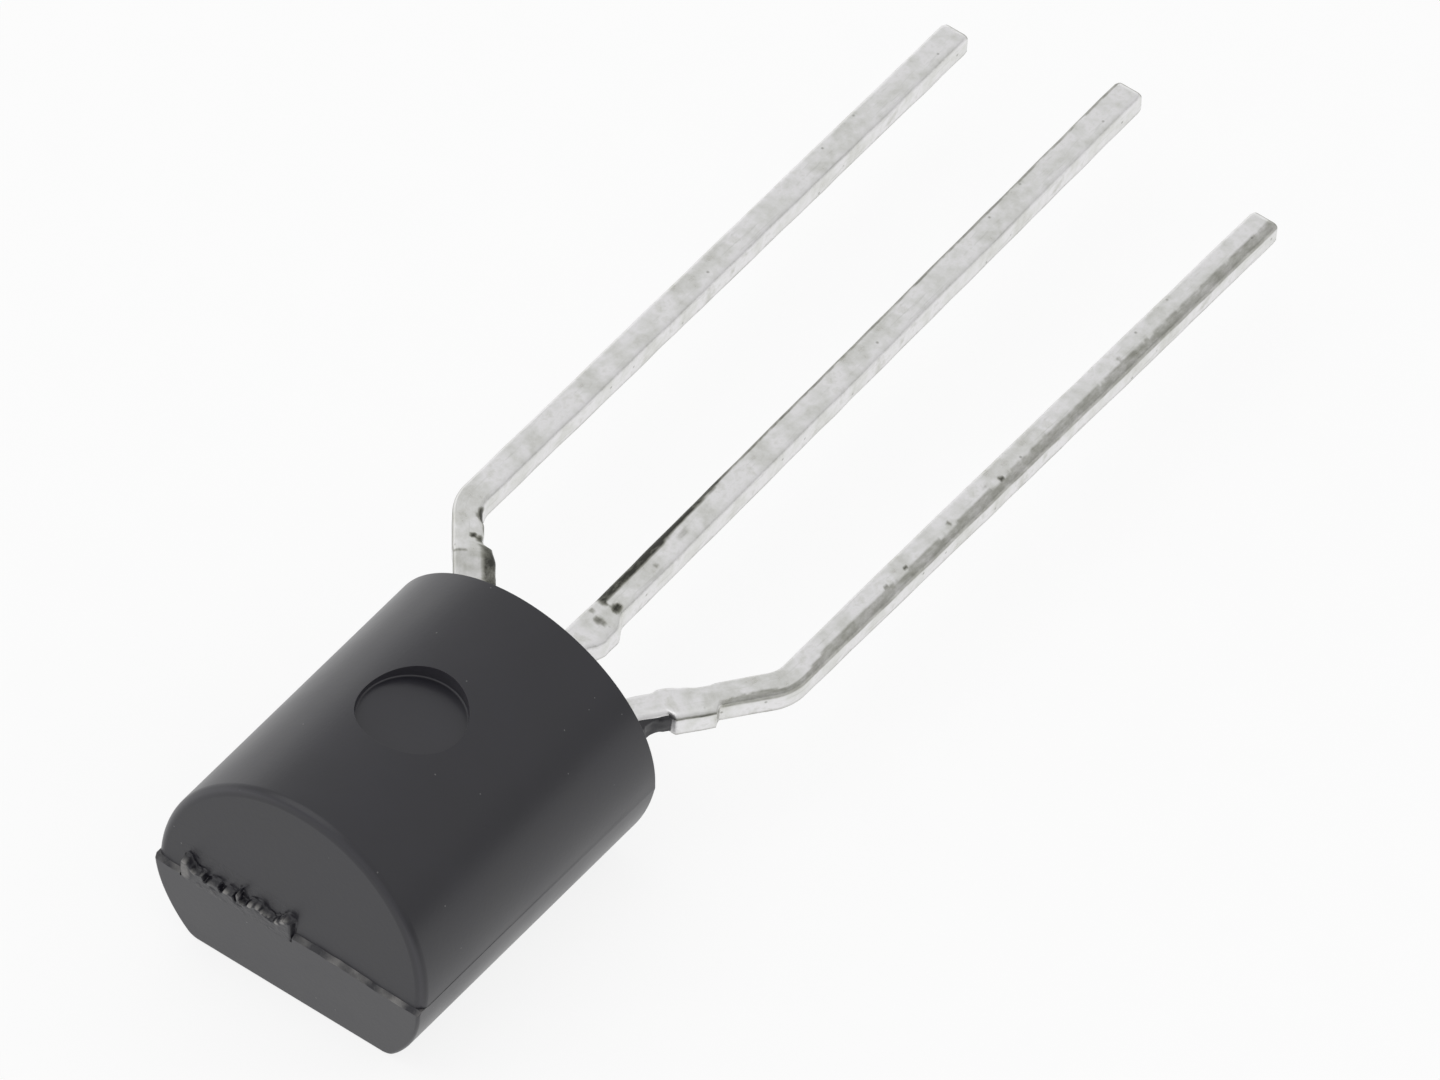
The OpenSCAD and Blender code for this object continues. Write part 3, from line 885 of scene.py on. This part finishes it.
def keep_straight_place(bm):
    """Stores each point's place in the straight blank, in millimetres, for the textures."""
    layer = bm.verts.layers.float_vector.new("straight_place")
    for v in bm.verts:
        v[layer] = v.co.copy()


cathode_route = formed_route(1, CATHODE_FORM_START)
print("cathode route:", [(round(a, 2), round(math.degrees(b), 1)) for a, b in cathode_route])

# %% [markdown]
# ## Darkened tin and torn edges
# A rule for each lead gives how dark its tin is at a place, from 0 to 1. All
# the leads share a faint dark line along every corner, a painted reflection of
# the darker room, a darker upper edge at the cut tip, the small dark spots that
# a rule can place one by one, and an edge torn unevenly.

# %% Darkened tin
EDGE = 0.2  # how far across a rolled edge is nearly upright


def store_dark_tin_and_painted_reflection(bm, rule, end):
    """Stores how dark the tin is, by a rule on its straight place, with painted reflection at its
    corners and its cut tip darker.
    """
    layer = bm.verts.layers.float.new("dark_tin_and_painted_reflection")
    for v in bm.verts:
        # Painted reflection: a faint dark line along every corner, where the rolled edges mirror
        # the darker room
        corner = smooth(abs(v.co.y), EDGE, 0.212) * smooth(abs(v.co.z), 0.12, 0.16)
        cut = smooth(v.co.x, end - 0.045, end - 0.01) * smooth(v.co.z, 0.1, 0.15)
        busy = 0.75 + 0.5 * waver(1.7 * v.co.x, 4 * v.co.y, 9)
        v[layer] = min(max(rule(v.co.x, v.co.y, v.co.z), 0.4 * busy * corner, 0.55 * cut, 0), 1)


def ragged(s, seed, reach=0.02):
    """A small uneven edge, in mm, along the length of a lead."""
    return reach * noise.fractal(Vector((6 * s, seed, 0.3)), 0.8, 2.1, 4)


def spots(s, y, z, marks):
    """The deepest of some dark marks. A mark is (s, y, z, half length, half width, strength)."""
    return max(strength * fade_out(math.hypot((s - at_s) / length, (y - at_y) / width,
                                              (z - at_z) / width))
               for at_s, at_y, at_z, length, width, strength in marks)


print("one spot at its middle:", spots(0, 0, 0, [(0, 0, 0, 0.1, 0.1, 0.8)]))

# %% [markdown]
# ## The cathode lead
# It leaves the case on the +Y side. Its dam-bar stub is mostly on the inner
# side, and its strip inside the case ends in a bonding post.

# %% Cathode lead
POST_SPREAD = 0.185  # how far a bonding post stands out on each side of its strip


def cathode_widths(s):
    stub = smooth(s, 0.9, 1.0) * (1 - smooth(s, 1.84, 1.93))
    bite = step_between(s, 1.96, 2.06, 0.04) + 0.8 * step_between(s, 2.32, 2.6, 0.05)
    post = step_between(s, -3.4, -2.6)
    out = 0.15 * stub * (1 - 0.35 * smooth(s, 1.6, 1.9)) + 0.6 * ragged(s, 2.0) * stub
    return (HALF_W + out - 0.025 * bite + POST_SPREAD * post,
            HALF_W - 0.01 * stub + POST_SPREAD * post)


def cathode_dark_tin_and_painted_shade(s, y, z):
    """Dark on the stub's inner side, in the nicks beyond it and along the +Y edge, grey where the
    dam bar was pressed, and painted shade where that ends.
    """
    uneven = 0.02 * waver(9 * s, y, 3)
    torn = (smooth(-y, 0.1 + uneven, 0.125 + uneven) * smooth(s, 0.6, 0.7)
            * (1 - smooth(s, 1.86, 1.92)))
    pressed = 0.22 * smooth(s, 0.2, 0.3) * (1 - smooth(s, 1.78, 1.82))
    # Painted shade: a dark line at the step where the pressed zone ends
    crease = 0.55 * step_between(s, 1.77, 1.82, 0.02) * smooth(y, -0.02, 0.06)
    nicks = spots(s, y, z, [(1.99, -0.18, 0.15, 0.08, 0.08, 1.0),
                            (2.06, -0.07, HALF_T, 0.05, 0.05, 0.85),
                            (2.2, -0.2, 0.12, 0.12, 0.05, 0.8),
                            (2.45, -0.2, 0.14, 0.2, 0.08, 1.0),
                            (2.42, -0.12, HALF_T, 0.04, 0.03, 0.6)])
    edge = 0.55 * smooth(y, 0.195, 0.21) * smooth(z, 0.03, 0.08) * (1 - 0.5 * smooth(s, 3.5, 5))
    return max(0.9 * torn, pressed, crease, nicks, edge)


def lead_piece(name, start, length, widths, route, side, dark_tin_and_painted_reflection, seed):
    """A formed lead. widths and its rule for dark tin and painted shade are its rules, and side is
    1, 0 or -1 towards +Y.
    """
    bm = straight_blank(start, length)
    keep_straight_place(bm)
    store_dark_tin_and_painted_reflection(bm, dark_tin_and_painted_reflection, length)
    widen(bm, widths)
    wander(bm, seed)
    nip_tip(bm, length)
    form(bm, route, side)
    finish_piece(bm, name, tin_plate, name.replace("_leg", "_lead"), sharp=50)


def route_length(reach, route, start):
    """Length along an outer lead whose tip is that far past the case."""
    out = route[-2][1]
    slant_run = (FORMED_PITCH - LEAD_PITCH) / math.tan(FORM_ANGLE)
    made = sum(length + BEND_R * abs(turn) for length, turn in route[:-1])
    return made + reach - start - slant_run - bend_run(out)


lead_piece("cathode_leg", CATHODE_ROOT,
           route_length(CATHODE_REACH, cathode_route, CATHODE_FORM_START),
           cathode_widths, cathode_route, 1, cathode_dark_tin_and_painted_shade, 1.0)

# %% [markdown]
# ## The gate lead
# The middle lead is not formed. It leans by 0.7 degrees, because nothing held
# it while its neighbours were bent. The tin is darker along its +Y edge from
# the dam bar outwards, and the mark fades half way along.

# %% Gate lead
def gate_widths(s):
    stub = smooth(s, 1.1, 1.42) * (1 - smooth(s, 1.7, 2.0))
    post = step_between(s, -1.9, -1.1)
    return (HALF_W + 0.125 * stub + 0.4 * ragged(s, 4.0) * stub + POST_SPREAD * post,
            HALF_W + 0.01 * stub + POST_SPREAD * post)


def gate_dark_tin(s, y, z):
    """Dark along the +Y edge from the dam bar outwards, and in the torn pits beside it."""
    uneven = 0.018 * noise.fractal(Vector((2.5 * s, 1, 6)), 0.7, 2, 3)
    width = (0.13 - 0.03 * smooth(s, 2.9, 3.7) - 0.035 * smooth(s, 3.7, 4.3)
             - 0.02 * smooth(s, 4.4, 5.2) + uneven)
    inner = (smooth(y, EDGE - width - 0.012, EDGE - width + 0.012)
             * (1 - 0.75 * smooth(y, 0.195, 0.21)))
    left = 1 - 0.3 * smooth(s, 4.3, 5.2) - 0.15 * smooth(s, 6, 8)
    edge = inner * smooth(z, 0.02, 0.06) * smooth(s, 1.9, 1.96) * left
    pits = spots(s, y, z, [(1.97, -0.11, HALF_T, 0.1, 0.08, 1.0),
                           (1.93, 0.1, HALF_T, 0.035, 0.12, 0.8),
                           (1.64, -0.04, HALF_T, 0.07, 0.08, 0.7),
                           (1.72, 0.12, HALF_T, 0.06, 0.05, 0.4),
                           (2.91, -0.07, HALF_T, 0.06, 0.035, 0.45),
                           (3.6, -0.02, HALF_T, 0.14, 0.05, 0.3)])
    return max(edge, pits)


GATE_LEAN = math.radians(0.7)
gate_route = [(GATE_FORM_START - bend_run(GATE_LEAN), 0), (0, GATE_LEAN), (TO_THE_TIP, 0)]
lead_piece("gate_leg", GATE_ROOT, GATE_REACH, gate_widths, gate_route, 0, gate_dark_tin, 5.0)

# %% [markdown]
# ## The anode lead
# The anode lead carries the paddle that the silicon is soldered to, so inside
# the case it is 2.1 mm wide, all on its inner side. Outside, its stub is cut
# square and its outer rolled edge is darker from the stub to the tip.

# %% Anode lead
PADDLE_SPREAD = 1.67  # how far the paddle stands out of the strip on its inner side


def anode_widths(s):
    stub = step_between(s, 1.19, 1.83)
    inner = smooth(s, 1.02, 1.12) * (1 - smooth(s, 1.25, 1.45))
    slim = smooth(s, 1.45, 1.65) * (1 - 0.6 * smooth(s, 1.8, 1.95)) * (1 - smooth(s, 3.5, 5))
    paddle = step_between(s, -4.4, -2.35)
    return (HALF_W + 0.12 * stub + 0.3 * ragged(s, 6.0) * stub,
            HALF_W + 0.05 * inner - 0.045 * slim + 0.2 * ragged(s, 8.0) * inner
            + PADDLE_SPREAD * paddle)


def anode_dark_tin(s, y, z):
    """Grey along the outer edge from the stub to the tip, darkest at its two borders."""
    uneven = 0.035 * noise.fractal(Vector((1.8 * s, 4, 2)), 0.6, 2.1, 4)
    width = 0.06 + 0.06 * smooth(s, 3.0, 3.8) + uneven
    start = smooth(s, 1.84, 1.9)
    band = smooth(-y, EDGE - width - 0.01, EDGE - width + 0.01) * smooth(z, 0.075, 0.1) * start
    inner = step_between(-y, EDGE - width, HALF_W - width, 0.012) * smooth(z, 0.15, 0.17) * start
    outer = step_between(z, 0.085, 0.11, 0.014) * smooth(-y, EDGE, 0.21) * start
    busy = 0.5 + 0.5 * waver(3 * s, 0, 8)
    over = (0.7 * step_between(s, 1.2, 1.82, 0.02) * smooth(-y, 0.195, 0.208)
            * smooth(z, 0.1, 0.13))
    pits = spots(s, y, z, [(5.45, -0.05, HALF_T, 0.05, 0.04, 0.8),
                           (5.0, -0.05, HALF_T, 0.05, 0.03, 0.6),
                           (6.45, -0.02, HALF_T, 0.04, 0.035, 0.7),
                           (7.55, -0.08, HALF_T, 0.05, 0.05, 1.0),
                           (7.3, -0.02, HALF_T, 0.08, 0.025, 0.55),
                           (10.3, -0.02, HALF_T, 0.06, 0.03, 0.5)])
    square = 0.6 * step_between(s, 1.8, 1.85, 0.015) * smooth(-y, 0.212, 0.216)
    burr = 0.7 * step_between(s, 1.2, 1.8) * smooth(-z, 0.13, 0.16) * smooth(-y, EDGE, 0.21) * busy
    return max(0.4 * band, (0.3 + 0.4 * busy) * inner, (0.4 + 0.4 * busy) * outer, over, square,
               burr, pits)


ANODE_LEAN = math.radians(-0.4)
anode_route = formed_route(-1, ANODE_FORM_START, ANODE_LEAN)
lead_piece("anode_leg", ANODE_ROOT, route_length(ANODE_REACH, anode_route, ANODE_FORM_START),
           anode_widths, anode_route, -1, anode_dark_tin, 9.0)

# %% [markdown]
# ## Resin flash
# Resin creeps out along the -Y side of the two outer leads, as far as the dam
# bar that stopped it. It is a film, a few hundredths of a millimetre thick,
# that hides the rolled edge and the side below it, and swells where it meets
# the case. It starts as a bar with the lead's own rolled corner, a little
# larger, so that only its skin stands out of the lead. The skin is roughened
# and then bent by the same route as the lead that it clings to.

# %% Resin flash
def flash_film(length, side, route, seed):
    film, inset = 0.03, 0.09
    bm = box((length + 0.1, film + inset, LEAD_T + 0.012),
             (length / 2 - 0.05, (inset - film - LEAD_W) / 2, 0))
    chip_and_painted_light = bm.verts.layers.float.new("chip_and_painted_light")
    corner = [e for e in bm.edges if x_span(e) > 0.5
              and all(v.co.z > 0 and v.co.y < -HALF_W for v in e.verts)]
    round_off(bm, corner, ROLL_R + 0.02, 5)
    divide(bm, [e for e in bm.edges if x_span(e) < 0.001 and e.calc_length() > 0.2], 6)
    divide(bm, [e for e in bm.edges if x_span(e) > 0.5], 60)
    for v in bm.verts:
        torn = noise.fractal(Vector((5 * v.co.x, 5 * v.co.z, seed)), 0.9, 2.0, 4)
        swell = 0.14 * (1 - smooth(v.co.x, 0.6, 0.95)) + 0.02 * smooth(v.co.x, 1.0, 1.1)
        if v.co.y < 0.01 - HALF_W:
            v.co.y -= swell + 0.018 * torn
        v.co.x += 0.05 * torn * smooth(v.co.x, length - 0.2, length)
        share = (v.co.z + HALF_T) / LEAD_T
        lowest = -HALF_T + 0.05 * smooth(v.co.x, 0.75, 0.95)
        highest = HALF_T + 0.006 - 0.05 * smooth(v.co.x, 0.35, 0.7)
        v.co.z = lowest + share * (highest - lowest)
        v[chip_and_painted_light] = PLAIN_CHIP + 0.2 * torn
    form(bm, route, side)
    return bm


for name, film in (("cathode_flash", flash_film(0.98, 1, cathode_route, 3.0)),
                   ("anode_flash", flash_film(1.19, -1, anode_route, 7.0))):
    finish_piece(film, name, broken_epoxy, "moulded_body", sharp=60)

# %% [markdown]
# ## Floor and light
# The part is lit as small parts usually are: a white tent all round it, and
# one large soft lamp overhead. The tent is the world, brightest low down on the
# +Y side, where a window would be, and darkest behind the camera. Its strength
# is set so that a colour renders about as it is written. The floor is paper. To
# the camera, and in reflections, most of its light is a glow at full white, and
# the rest is real, so that it still keeps the part's shadow.

# %% Floor
FLOOR_GLOW, FLOOR_GAP = 0.85, 0.02


def white_paper():
    finish, add, paper = new_finish("white_paper")
    place = add("TexCoord").outputs["Object"]
    fibres = add("TexNoise", {"Vector": place, "Scale": 900, "Detail": 3})
    white = add("ValToRGB", [fibres], [(0.3, "#fafafa"), (0.7, "#fdfdfd")])
    fill(paper, {"Base Color": white, "Roughness": 0.9})
    glow = add("Emission", {"Color": (1, 1, 1, 1), "Strength": 1.0})
    ray = add("LightPath").outputs
    seen = add("Math", [ray["Is Camera Ray"], ray["Is Glossy Ray"]], operation="MAXIMUM")
    share = add("Math", [seen, FLOOR_GLOW], operation="MULTIPLY")
    mixed = add("MixShader", [share, paper, glow])
    output = next(n for n in finish.node_tree.nodes if n.type == "OUTPUT_MATERIAL")
    fill(output, {"Surface": mixed})
    return finish


floor_bm = bmesh.new()
bmesh.ops.create_grid(floor_bm, x_segments=1, y_segments=1, size=1.5)
floor_mesh = bpy.data.meshes.new("paper_floor")
floor_bm.to_mesh(floor_mesh)
floor_bm.free()
floor_mesh.materials.append(white_paper())
paper_floor = add_object("paper_floor", floor_mesh)
paper_floor.location = (0, 0, -FLOOR_GAP * MM)
print("floor of", floor_mesh.materials[0].name)

# %% Tent and lamp
tent = bpy.data.worlds.new("white_tent")
bpy.context.scene.world = tent
add = empty_tree(tent)
way = add("SeparateXYZ", [add("TexCoord").outputs["Generated"]])
# Each share grows from 0 to 1 between two values of one coordinate of the way looked
GROWTH = (("Z", 0.5, 0.0), ("Y", -0.3, 0.7), ("X", 0.1, -0.8), ("Y", 0.0, -0.8))
low_down, window_side, left, corner_side = [
    add("MapRange", [way.outputs[axis], none, full], interpolation_type="SMOOTHSTEP")
    for axis, none, full in GROWTH]
window = add("Math", [low_down, window_side], operation="MULTIPLY")
corner = add("Math", [low_down, corner_side], operation="MULTIPLY")
wall = 0.76
for share, more in ((left, -0.12), (window, 0.5), (corner, -0.3)):
    wall = add("Math", [share, more, wall], operation="MULTIPLY_ADD")
to_camera = add("LightPath").outputs["Is Camera Ray"]
level = add("Mix", {0: to_camera, 2: wall, 3: 1.0})
sky = add("Background", {"Color": (1, 1, 1, 1), "Strength": level})
add("OutputWorld", {"Surface": sky})

lamp_data = bpy.data.lights.new("overhead_softbox", "AREA")
lamp_data.shape, lamp_data.size, lamp_data.energy = "DISK", 0.3, 0.14
lamp = add_object("overhead_softbox", lamp_data)
lamp.location = (-0.05, 0.12, 0.3)
lamp.rotation_euler = (-lamp.location).to_track_quat("-Z", "Y").to_euler()
print("tent and one lamp of", lamp_data.energy, "W")
